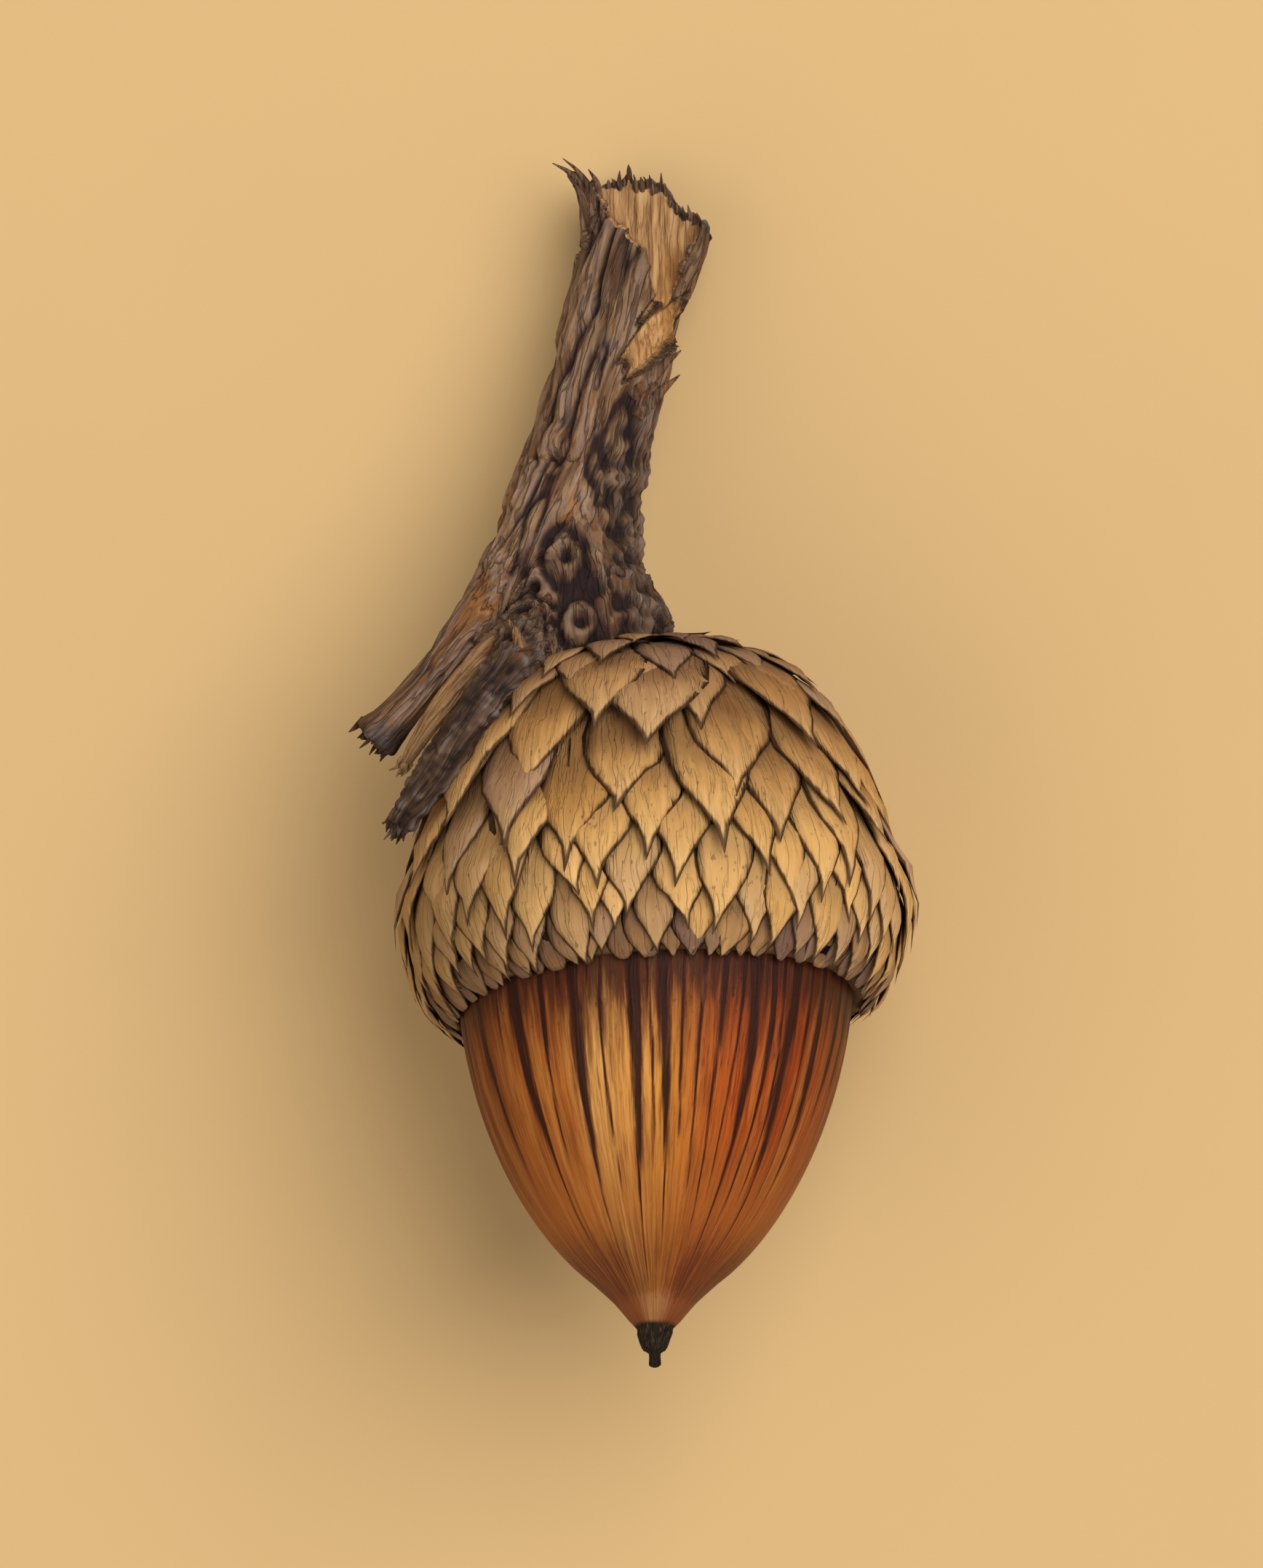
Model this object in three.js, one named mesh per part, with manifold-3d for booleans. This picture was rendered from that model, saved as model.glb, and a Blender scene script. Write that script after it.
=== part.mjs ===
// An acorn of a red or black oak, still in its scaly cup on a torn piece of twig.
// It lies on a table: the cup's belly has a small worn flat, and the twig's torn end comes down beside it.
// Millimetres. +Z is up from the table and +Y runs along the acorn from its point to the twig.
// The origin is on the flat that the cup rests on, where the belly reached lowest before it was worn.
import * as THREE from "three";
import { mergeVertices } from "three/addons/utils/BufferGeometryUtils.js";
import Module from "manifold-3d";

const wasm = await Module();
wasm.setup();

// Driving dimensions
const cupRadius = 11; // at the cup's widest circle, over the scales
const nutRadius = 8.6; // at the nut's widest circle
const nutPoint = 16.1; // from the nut's widest circle to the shoulder at its point
const nutSeat = 9.2; // from the nut's widest circle to its scar, deep in the cup
const nutOffset = -1; // the nut's widest circle, along the axis from the cup's
const tilt = THREE.MathUtils.degToRad(15); // how far the nut's point is lifted off the table
const cupLean = THREE.MathUtils.degToRad(3.5); // how far the cup sits askew on the nut
const flatDepth = 0.45; // how much of the belly is worn away at the resting flat
const fitGap = 0.3; // clear space between neighbouring pieces
const scaleRise = 0.3; // how far a cup scale stands out of the wall
const scalesAround = 24; // scales in one ring of the cup
const scaleRings = 16; // rings of scales from the twig to the rim
const twigRadius = 2.6; // half the twig's thickness at its middle

// ---- Solids ----

// A closed geometry as a manifold-3d solid, for joining and cutting.
function solidOf(geometry) {
  const bare = geometry.clone();
  bare.deleteAttribute("normal");
  bare.deleteAttribute("uv");
  const merged = mergeVertices(bare, 1e-4);
  return new wasm.Manifold(
    new wasm.Mesh({
      numProp: 3,
      vertProperties: merged.attributes.position.array,
      triVerts: new Uint32Array(merged.index.array),
    }),
  );
}

function geometryOf(solid) {
  const mesh = solid.getMesh();
  const geometry = new THREE.BufferGeometry();
  geometry.setAttribute("position", new THREE.BufferAttribute(mesh.vertProperties, 3));
  geometry.setIndex(new THREE.BufferAttribute(mesh.triVerts, 1));
  geometry.computeVertexNormals();
  return geometry;
}

// A big block with one face through a point, filling the side that the normal points to.
function halfSpace(point, normal) {
  const size = 80;
  const block = new THREE.BoxGeometry(size, size, size);
  block.translate(0, size / 2, 0);
  block.applyQuaternion(new THREE.Quaternion().setFromUnitVectors(new THREE.Vector3(0, 1, 0), normal));
  block.translate(point.x, point.y, point.z);
  return solidOf(block);
}

// ---- Nut ----

// The nut's radius at a place along the acorn's axis, where 0 is the cup's widest circle.
function nutRadiusAt(along) {
  const fromWidest = along - nutOffset;
  if (fromWidest > 0) return nutRadius * Math.max(0, 1 - (fromWidest / nutSeat) ** 2.4) ** 0.5;
  return nutRadius * Math.max(0, 1 - (fromWidest / nutPoint) ** 2) ** 0.61;
}

// The dried style at the nut's point, as [radius, distance past the shoulder]: a stump, a knob and a collar.
const styleOutline = [
  [0, 2.5],
  [0.24, 2.5],
  [0.3, 1.75],
  [0.6, 1.55],
  [0.7, 1.2],
  [0.68, 0.75],
  [1.05, 0.45],
  [1.5, -0.1],
];

// The whole nut, or the space it needs when grown by a gap, as a solid of revolution about its axis.
function makeNut(grow = 0) {
  const sides = 40;
  const steps = 18;
  const shoulder = nutOffset - nutPoint;
  const outline = styleOutline.map(
    ([radius, past], i) => new THREE.Vector2(i === 0 ? 0 : radius + grow, shoulder - past - (i < 2 ? grow : 0)),
  );
  const lowEnd = shoulder + 0.7;
  const highEnd = nutOffset + nutSeat;
  for (let step = 0; step <= steps; step++) {
    // Steps of equal angle crowd the rings towards both ends, where the nut curves most.
    const share = (1 - Math.cos((Math.PI * step) / steps)) / 2;
    const along = THREE.MathUtils.lerp(lowEnd, highEnd, share);
    const atScar = step === steps;
    outline.push(new THREE.Vector2(atScar ? 0 : nutRadiusAt(along) + grow, along + (atScar ? grow : 0)));
  }
  return new THREE.LatheGeometry(outline, sides);
}

// ---- Cup ----

// The cup's outside from the twig to the rim, as shares of its radius: [radius, place along the axis].
const cupCurve = new THREE.SplineCurve(
  [
    [0, 1.1],
    [0.3, 1.08],
    [0.58, 0.98],
    [0.8, 0.725],
    [0.925, 0.36],
    [1, 0.035],
    [0.94, -0.19],
    [0.865, -0.31],
    [0.835, -0.39],
  ].map(([radius, along]) => new THREE.Vector2(radius * cupRadius, along * cupRadius)),
);

// Points along the cup's outside, moved out (or in, below 0) by a distance square to the wall.
function cupOutline(count, grow) {
  return Array.from({ length: count + 1 }, (_, i) => {
    const point = cupCurve.getPointAt(i / count);
    const way = cupCurve.getTangentAt(i / count);
    return new THREE.Vector2(i === 0 ? 0 : point.x - way.y * grow, point.y + way.x * grow);
  });
}

// A solid of revolution from the twig to the rim, closed straight across the rim.
function cupPlug(count, sides, grow) {
  const outline = cupOutline(count, grow);
  outline.push(new THREE.Vector2(0, outline[count].y));
  return new THREE.LatheGeometry(outline.reverse(), sides);
}

// Scales stand out as a lattice: every second place on a ring is raised, one place further on each ring.
function raiseScales(geometry, sides, rows) {
  const { position, normal } = geometry.attributes;
  for (let i = 0; i < position.count; i++) {
    const ring = rows - 1 - (i % rows);
    const side = Math.floor(i / rows) % sides;
    const raised = ring > 1 && ring < scaleRings && (ring + side) % 2 === 0;
    if (!raised) continue;
    position.setXYZ(
      i,
      position.getX(i) + normal.getX(i) * scaleRise,
      position.getY(i) + normal.getY(i) * scaleRise,
      position.getZ(i) + normal.getZ(i) * scaleRise,
    );
  }
}

// The place on the cup that reaches farthest down when the acorn lies tilted.
const reachOf = (point) => point.x * Math.cos(tilt) + point.y * Math.sin(tilt);
const belly = cupOutline(200, 0).reduce((best, point) => (reachOf(point) > reachOf(best) ? point : best));
const restHeight = reachOf(belly) - flatDepth;

// The acorn's own frame has its axis along Y and its origin in the cup's widest circle.
const acorn = new THREE.Group();
acorn.rotation.x = -tilt;
acorn.position.set(
  belly.y * Math.sin(cupLean),
  belly.x * Math.sin(tilt) - belly.y * Math.cos(tilt),
  restHeight,
);
acorn.updateMatrix();

function makeCup() {
  const sides = scalesAround * 2;
  const wall = cupPlug(scaleRings, sides, -scaleRise);
  raiseScales(wall, sides, scaleRings + 2);
  wall.rotateZ(cupLean);
  const down = new THREE.Vector3(0, Math.sin(tilt), -Math.cos(tilt));
  const table = halfSpace(down.clone().multiplyScalar(restHeight), down);
  return geometryOf(solidOf(wall).subtract(solidOf(makeNut(fitGap))).subtract(table));
}

// ---- Twig ----

// A rod whose thickness changes along a curve: a turned bar, bent so that its axis follows the curve.
function bentRod(points, radii, sides, steps) {
  const curve = new THREE.CatmullRomCurve3(points.map((point) => new THREE.Vector3(...point)));
  const outline = [new THREE.Vector2(0, 0)];
  for (let step = 0; step <= steps; step++) {
    const place = (step / steps) * (radii.length - 1);
    const below = Math.min(Math.floor(place), radii.length - 2);
    const radius = THREE.MathUtils.lerp(radii[below], radii[below + 1], place - below);
    outline.push(new THREE.Vector2(radius, step / steps));
  }
  outline.push(new THREE.Vector2(0, 1));
  const rod = new THREE.LatheGeometry(outline, sides);
  const frames = curve.computeFrenetFrames(steps);
  const position = rod.attributes.position;
  for (let i = 0; i < position.count; i++) {
    const step = Math.round(position.getY(i) * steps);
    const point = curve
      .getPointAt(step / steps)
      .addScaledVector(frames.binormals[step], position.getX(i))
      .addScaledVector(frames.normals[step], position.getZ(i));
    position.setXYZ(i, point.x, point.y, point.z);
  }
  return rod;
}

// The twig's bends, from inside the cup's shoulder to past the torn end, as [x, y, height over the table].
const twigPath = [
  [-2.9, 8.2, 9.4],
  [-3.4, 12.4, 8.8],
  [-3.67, 16.6, 7.2],
  [-2.7, 20.9, 5.8],
  [-1.5, 25.6, 4.3],
  [-0.1, 30.3, 3.1],
  [0.4, 34.6, 2.9],
];
const twigRadii = [1.45, 1.6, 1.5, 1.16, 1.02, 0.96, 0.97, 1.02, 1.04].map((share) => share * twigRadius);

// Two snapped-off side twigs run down beside the cup's shoulder, and a foot spreads to the other side,
// as a path and its radii each.
const spurs = [
  {
    path: [[-3.9, 15.8, 9], [-6.2, 14.8, 9.9], [-8.5, 12.6, 10.5], [-10.3, 10.2, 10.7], [-11.95, 8.45, 10.5]],
    radii: [2, 1.3, 0.95, 0.8, 1],
  },
  {
    path: [[-4, 13.8, 10.2], [-5.6, 12.2, 12.4], [-7.2, 10.4, 13.9], [-8.7, 8.2, 14.5], [-11, 4.8, 13.6]],
    radii: [1.6, 1.2, 1, 0.9, 0.6],
  },
  {
    path: [[-2.4, 17, 8], [-1.5, 15.2, 8.4], [-0.7, 13.6, 8.7], [-0.2, 12, 8.7]],
    radii: [1, 1.3, 1.35, 1.2],
  },
];

// Oblique planes that leave the torn end with one long splinter on the left.
const tears = [
  { point: [-0.4, 31.5, 3], normal: [0.4, 1, 0.2] },
  { point: [-1.6, 32.2, 3], normal: [-0.1, 1, 0.5] },
];

const splinter = {
  path: [[-1.8, 28.1, 3], [-2.7, 30.6, 3], [-4.2, 33.2, 3.3]],
  radii: [1, 0.75, 0.15],
};

function makeTwig() {
  let twig = solidOf(bentRod(twigPath, twigRadii, 16, 22));
  for (const { point, normal } of tears) {
    twig = twig.subtract(halfSpace(new THREE.Vector3(...point), new THREE.Vector3(...normal).normalize()));
  }
  twig = twig.add(solidOf(bentRod(splinter.path, splinter.radii, 8, 6)));
  for (const { path, radii } of spurs) twig = twig.add(solidOf(bentRod(path, radii, 10, 10)));
  const clearOfCup = cupPlug(24, 48, fitGap);
  clearOfCup.rotateZ(cupLean);
  clearOfCup.applyMatrix4(acorn.matrix);
  const table = halfSpace(new THREE.Vector3(), new THREE.Vector3(0, 0, -1));
  return geometryOf(twig.subtract(solidOf(clearOfCup)).subtract(table));
}

// ---- Assembly ----

function addPiece(parent, name, geometry, color, roughness) {
  const material = new THREE.MeshStandardMaterial({ color, roughness, metalness: 0 });
  const piece = new THREE.Mesh(geometry, material);
  piece.name = name;
  parent.add(piece);
}

const group = new THREE.Group();
group.add(acorn);
addPiece(acorn, "nut", makeNut(), 0xa4612a, 0.38);
addPiece(acorn, "cup", makeCup(), 0x9b7d54, 0.85);
addPiece(group, "twig", makeTwig(), 0x5d4a3e, 0.9);

export default group;
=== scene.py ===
import functools
import math

import bmesh
import bpy
import numpy as np
from mathutils import Matrix, Vector, noise


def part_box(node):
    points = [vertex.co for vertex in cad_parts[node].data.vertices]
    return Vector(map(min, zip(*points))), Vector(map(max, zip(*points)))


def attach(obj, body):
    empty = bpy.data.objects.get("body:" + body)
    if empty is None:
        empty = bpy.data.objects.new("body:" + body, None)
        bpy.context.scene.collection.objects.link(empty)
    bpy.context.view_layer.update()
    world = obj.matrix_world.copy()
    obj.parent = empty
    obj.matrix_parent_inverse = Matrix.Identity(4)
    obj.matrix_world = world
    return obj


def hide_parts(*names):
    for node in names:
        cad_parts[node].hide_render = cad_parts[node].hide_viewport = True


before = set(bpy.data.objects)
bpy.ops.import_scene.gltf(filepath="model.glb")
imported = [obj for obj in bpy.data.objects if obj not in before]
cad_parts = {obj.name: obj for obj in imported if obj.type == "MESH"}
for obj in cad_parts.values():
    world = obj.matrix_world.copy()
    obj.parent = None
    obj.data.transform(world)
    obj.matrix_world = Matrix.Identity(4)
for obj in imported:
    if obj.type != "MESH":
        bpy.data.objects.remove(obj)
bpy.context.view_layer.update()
mm = 0.001  # shapes are worked out in millimetres and stored in metres


# Nodes

def plug(value, socket):
    # a socket is linked, anything else is typed in as the socket's own value
    if isinstance(value, bpy.types.NodeSocket):
        socket.id_data.links.new(value, socket)
    else:
        socket.default_value = value


def addNode(tree, kind, values=None, **settings):
    node = tree.nodes.new(kind)
    for name, setting in settings.items():
        setattr(node, name, setting)
    for name, value in (values or {}).items():
        plug(value, node.inputs[name])
    return node


def newGroup(name, kind, inputs, outputs):
    # a node group, with each socket's name and type; its inputs and outputs are handed back as sockets
    tree = bpy.data.node_groups.new(name, kind)
    for direction, sockets in (("INPUT", inputs), ("OUTPUT", outputs)):
        for title, socketKind in sockets.items():
            tree.interface.new_socket(name=title, in_out=direction, socket_type="NodeSocket" + socketKind)
    return tree, tree.nodes.new("NodeGroupInput").outputs, tree.nodes.new("NodeGroupOutput").inputs


def calc(operation, *values):
    # the node goes into the tree that its sockets come from
    tree = next(value.id_data for value in values if isinstance(value, bpy.types.NodeSocket))
    return addNode(tree, "ShaderNodeMath", dict(enumerate(values)), operation=operation).outputs[0]


def times(*values):
    return functools.reduce(functools.partial(calc, "MULTIPLY"), values)


def plus(*values):
    return functools.reduce(functools.partial(calc, "ADD"), values)


def minus(first, second):
    return calc("SUBTRACT", first, second)


def vectorCalc(operation, first, second):
    values = {0: first, "Scale" if operation == "SCALE" else 1: second}
    return addNode(first.id_data, "ShaderNodeVectorMath", values, operation=operation).outputs[0]


def split(vector):
    return addNode(vector.id_data, "ShaderNodeSeparateXYZ", {0: vector}).outputs


def join(tree, x, y, z):
    return addNode(tree, "ShaderNodeCombineXYZ", {"X": x, "Y": y, "Z": z}).outputs[0]


def remap(value, low, high, toLow=0.0, toHigh=1.0):
    # a smooth step from toLow to toHigh as the value goes from low to high
    values = {"Value": value, "From Min": low, "From Max": high, "To Min": toLow, "To Max": toHigh}
    node = addNode(value.id_data, "ShaderNodeMapRange", values, interpolation_type="SMOOTHSTEP")
    return node.outputs[0]


def colour(red, green, blue):
    # a colour as a paint program gives it, 0 to 255, turned into the linear values that a shader takes
    def linear(value):
        value /= 255
        return value / 12.92 if value <= 0.04045 else ((value + 0.055) / 1.055) ** 2.4
    return (linear(red), linear(green), linear(blue), 1.0)


def mixColour(share, first, second):
    values = {0: share, 6: first, 7: second}
    return addNode(share.id_data, "ShaderNodeMix", values, data_type="RGBA").outputs[2]


def paint(under, *layers):
    # lays colours over one another; each layer is [share, red, green, blue]
    for share, *shade in layers:
        under = mixColour(share, under, colour(*shade))
    return under


def ramp(value, *stops):
    # each stop is [place, red, green, blue]
    node = addNode(value.id_data, "ShaderNodeValToRGB", {0: value})
    elements = node.color_ramp.elements
    while len(elements) < len(stops):
        elements.new(0.5)
    for element, (place, *shade) in zip(elements, stops):
        element.position = place
        element.color = colour(*shade)
    return node.outputs[0]


def cloud(vector, scale, detail, roughness=0.5):
    values = {"Vector": vector, "Scale": scale, "Detail": detail, "Roughness": roughness}
    return addNode(vector.id_data, "ShaderNodeTexNoise", values).outputs


def readAttribute(tree, name, output="Fac"):
    return addNode(tree, "ShaderNodeAttribute", attribute_name=name).outputs[output]


def newMaterial(name, roughness=0.9, specular=0.5):
    material = bpy.data.materials.new(name)
    material.use_nodes = True
    shader = material.node_tree.nodes["Principled BSDF"]
    plug(roughness, shader.inputs["Roughness"])
    plug(specular, shader.inputs["Specular IOR Level"])
    return material, material.node_tree, shader


def finishMaterial(shader, shade, roughness, relief, depth):
    values = {"Height": relief, "Distance": depth * mm, "Strength": 1.0}
    bumps = addNode(relief.id_data, "ShaderNodeBump", values).outputs[0]
    for name, value in {"Base Color": shade, "Roughness": roughness, "Normal": bumps}.items():
        plug(value, shader.inputs[name])


# Meshes

def addPiece(name, points, faces, material=None):
    mesh = bpy.data.meshes.new(name)
    mesh.from_pydata([tuple(point) for point in points], [], [tuple(face) for face in faces])
    if material:
        mesh.materials.append(material)
    piece = bpy.data.objects.new(name, mesh)
    bpy.context.scene.collection.objects.link(piece)
    return smoothShade(piece)


def smoothShade(piece):
    piece.data.polygons.foreach_set("use_smooth", [True] * len(piece.data.polygons))
    return piece


def bakePiece(piece):
    # the evaluated shape becomes a plain mesh, and the modifiers go
    bpy.context.view_layer.update()
    result = piece.evaluated_get(bpy.context.evaluated_depsgraph_get())
    mesh = bpy.data.meshes.new_from_object(result)
    piece.modifiers.clear()
    piece.data = mesh
    mesh.name = piece.name


def setAttributes(piece, **attributes):
    for name, values in attributes.items():
        values = np.asarray(values, dtype=np.float32)
        kind, key = ("FLOAT_VECTOR", "vector") if values.ndim == 2 else ("FLOAT", "value")
        layer = piece.data.attributes.get(name) or piece.data.attributes.new(name, kind, "POINT")
        layer.data.foreach_set(key, values.ravel())


def readRows(items, key, width, kind=np.float32):
    rows = np.empty(len(items) * width, dtype=kind)
    items.foreach_get(key, rows)
    return rows.reshape(-1, width)


def getPoints(piece):
    return readRows(piece.data.vertices, "co", 3).astype(float)


def setPoints(piece, points):
    piece.data.vertices.foreach_set("co", np.asarray(points, dtype=np.float32).ravel())
    piece.data.update()


def moved(points, matrix):
    turn = np.array(matrix.to_3x3())
    return points @ turn.T + np.array(matrix.translation)


def columns(*parts):
    return np.column_stack(np.broadcast_arrays(*parts))


def noiseAt(points, scale=1.0, shift=0.0):
    # smooth noise between about -1 and 1 at every point
    stretched = points * np.asarray(scale, dtype=float) + shift
    return np.array([noise.noise(Vector(point)) for point in stretched])


def smoothStep(low, high, value):
    share = np.clip((value - low) / (high - low), 0, 1)
    return share * share * (3 - 2 * share)


def bell(value, middle, width):
    # 1 at the middle, and next to nothing two widths away
    return np.exp(-((value - middle) / width) ** 2)


def lengthsAlong(line):
    return np.concatenate([[0], np.cumsum(np.linalg.norm(np.diff(line, axis=0), axis=1))])


def splinePoints(points, count):
    # a smooth curve through the points, cut into equal lengths
    points = np.asarray(points, dtype=float)
    padded = np.vstack([2 * points[0] - points[1], points, 2 * points[-1] - points[-2]])
    fine, stepsEach = [], 24
    for i in range(len(points) - 1):
        before, start, end, after = padded[i:i + 4]
        for t in np.linspace(0, 1, stepsEach, endpoint=False):
            fine.append(0.5 * (2 * start + (end - before) * t
                               + (2 * before - 5 * start + 4 * end - after) * t * t
                               + (3 * start - before - 3 * end + after) * t ** 3))
    fine = np.array(fine + [points[-1]])
    lengths = lengthsAlong(fine)
    places = np.linspace(0, lengths[-1], count)
    return columns(*[np.interp(places, lengths, fine[:, axis]) for axis in range(fine.shape[1])])


def tubeFaces(rings, sides, flipped=False):
    # point 0 closes one end and the last point the other, with rings of points between them
    faces, last = [], 1 + rings * sides
    for side in range(sides):
        after = (side + 1) % sides
        faces.append((0, 1 + side, 1 + after))
        for low in range(1, last - sides, sides):
            high = low + sides
            faces.append((low + side, high + side, high + after, low + after))
        faces.append((last, last - sides + after, last - sides + side))
    return [(face[0], *face[:0:-1]) for face in faces] if flipped else faces


def revolve(outline, sides, tweak=None):
    # a closed skin round the Y axis; the outline starts and ends on the axis
    turns = np.arange(sides) / sides * math.tau
    points = [[0, outline[0][1], 0]]
    for radius, along in outline[1:-1]:
        radii = radius + (tweak(radius, along, turns) if tweak else 0)
        points += columns(radii * np.sin(turns), along, radii * np.cos(turns)).tolist()
    points.append([0, outline[-1][1], 0])
    return np.array(points), tubeFaces(len(outline) - 2, sides)


def turnsOf(points):
    # the angle round the Y axis, 0 towards +Z
    return np.arctan2(points[:, 0], points[:, 2])


# Where the acorn lies

acorn = {
    "tilt": math.radians(15),  # the nut's point is lifted this far off the table
    "lean": math.radians(3.5),  # the cup sits this far askew on the nut
    "cupRadius": 11.0,
    "nutRadius": 8.6,
    "nutPoint": 16.1,  # from the nut's widest circle to its shoulder
    "nutSeat": 9.2,  # from the nut's widest circle to its scar
    "nutOffset": -1.0,  # the nut's widest circle, from the cup's
}
nutTop = acorn["nutOffset"] + acorn["nutSeat"]


def nutRadiusAt(along):
    fromWidest = np.asarray(along, dtype=float) - acorn["nutOffset"]
    seated = 1 - np.abs(fromWidest / acorn["nutSeat"]) ** 2.4
    free = 1 - (fromWidest / acorn["nutPoint"]) ** 2
    shape = np.where(fromWidest > 0, np.clip(seated, 0, None) ** 0.5, np.clip(free, 0, None) ** 0.61)
    return acorn["nutRadius"] * shape


def placeAcorn():
    # the tilted nut's reach up and back says where the middle of the cup's widest circle is
    low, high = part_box("nut")
    along = np.linspace(acorn["nutOffset"] - acorn["nutPoint"], nutTop, 400)
    radius = nutRadiusAt(along)
    sine, cosine = math.sin(acorn["tilt"]), math.cos(acorn["tilt"])
    upward = (radius * cosine - along * sine).max()
    backward = (radius * sine + along * cosine).max()
    centre = Vector(((low.x + high.x) / 2 / mm, high.y / mm - backward, high.z / mm - upward))
    return Matrix.Translation(centre) @ Matrix.Rotation(-acorn["tilt"], 4, "X")


nutPlace = placeAcorn()
leaned = Matrix.Rotation(acorn["lean"], 4, "Z")
toMetres = Matrix.Scale(mm, 4)


# Camera, floor and light

view = {
    "distance": 1300.0,  # from the lens to the middle of the acorn
    "frameHeight": 67.34,  # what the camera sees from bottom to top, at the acorn
    "aside": -1.0,  # what it aims at, from the middle of the cup
    "along": 6.0,
    "paper": [209, 179, 130],
    "floorHalf": 1.5,  # metres
    "lights": {  # place in metres, width, watts, tint
        "skylight": [(0.4, 0.32, 0.85), 1.0, 10.0, (1.0, 0.93, 0.84)],
        "fill": [(-0.7, -0.4, 0.9), 1.2, 3.8, (1.0, 0.92, 0.83)],
    },
    "surround": [(0.95, 0.84, 0.68, 1), 0.4],  # colour and strength of the light from all round
}


def makeCamera():
    camera = bpy.data.cameras.new("camera")
    camera.sensor_width = 36
    camera.lens = camera.sensor_width * view["distance"] / view["frameHeight"]
    camera.clip_start, camera.clip_end = 0.01, 10
    holder = bpy.data.objects.new("camera", camera)
    offset = Vector((view["aside"], view["along"], view["distance"]))
    holder.location = (nutPlace.translation + offset) * mm
    bpy.context.scene.collection.objects.link(holder)
    bpy.context.scene.camera = holder


def makeFloor():
    material, tree, shader = newMaterial("paleTable")
    paper = colour(*view["paper"])
    darker = (*[channel * 0.93 for channel in paper[:3]], 1.0)
    place = addNode(tree, "ShaderNodeTexCoord").outputs["Object"]
    plug(mixColour(cloud(place, 40.0, 4.0)["Fac"], paper, darker), shader.inputs["Base Color"])
    half = view["floorHalf"]
    corners = [(-half, -half, 0), (half, -half, 0), (half, half, 0), (-half, half, 0)]
    addPiece("table", corners, [(0, 1, 2, 3)], material)


def makeLight():
    scene = bpy.context.scene
    for name, (place, size, power, tint) in view["lights"].items():
        light = bpy.data.lights.new(name, "AREA")
        light.shape = "DISK"
        light.size = size
        light.energy = power
        light.color = tint
        holder = bpy.data.objects.new(name, light)
        holder.location = place
        holder.rotation_mode = "QUATERNION"
        holder.rotation_quaternion = (-Vector(place)).to_track_quat("-Z", "Y")
        scene.collection.objects.link(holder)
    scene.world = bpy.data.worlds.new("studio")
    scene.world.use_nodes = True
    backdrop = scene.world.node_tree.nodes["Background"]
    for name, value in zip(("Color", "Strength"), view["surround"]):
        backdrop.inputs[name].default_value = value
    scene.view_settings.view_transform = "Standard"


makeCamera()
makeFloor()
makeLight()
print("camera, floor and light are set")


# Grain that the shell, the scales and the wood share

def makeGrainGroup():
    inputs = {"Fibre": "Vector", "Lines": "Float", "Stretch": "Float", "Waver": "Float"}
    outputs = {"Streaks": "Float", "Cracks": "Float", "Flecks": "Float"}
    tree, given, taken = newGroup("fibreGrain", "ShaderNodeTree", inputs, outputs)
    # a slow sideways waver, so that no line is ruler straight
    drift = vectorCalc("SUBTRACT", cloud(given["Fibre"], 0.35, 2.0)["Color"], (0.5, 0.5, 0.5))
    bent = vectorCalc("ADD", given["Fibre"], vectorCalc("SCALE", drift, given["Waver"]))
    drawn = vectorCalc("MULTIPLY", bent, join(tree, 1.0, 1.0, given["Stretch"]))
    streaks = cloud(drawn, given["Lines"], 5.0, 0.62)["Fac"]
    plug(remap(streaks, 0.3, 0.7), taken["Streaks"])
    # cracks run where a second, coarser noise crosses its middle
    ridges = cloud(drawn, times(given["Lines"], 0.45), 3.0)["Fac"]
    plug(remap(calc("ABSOLUTE", minus(ridges, 0.5)), 0.0, 0.035, 1.0, 0.0), taken["Cracks"])
    short = vectorCalc("MULTIPLY", bent, (1.0, 1.0, 0.38))
    dots = cloud(short, times(given["Lines"], 1.4), 2.0)["Fac"]
    plug(remap(dots, 0.64, 0.72), taken["Flecks"])
    return tree


grainGroup = makeGrainGroup()


def addGrain(fibre, lines, stretch, waver):
    values = {"Fibre": fibre, "Lines": lines, "Stretch": stretch, "Waver": waver}
    group = addNode(fibre.id_data, "ShaderNodeGroup", values, node_tree=grainGroup)
    return [group.outputs[name] for name in ("Streaks", "Cracks", "Flecks")]


# Nut

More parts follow.
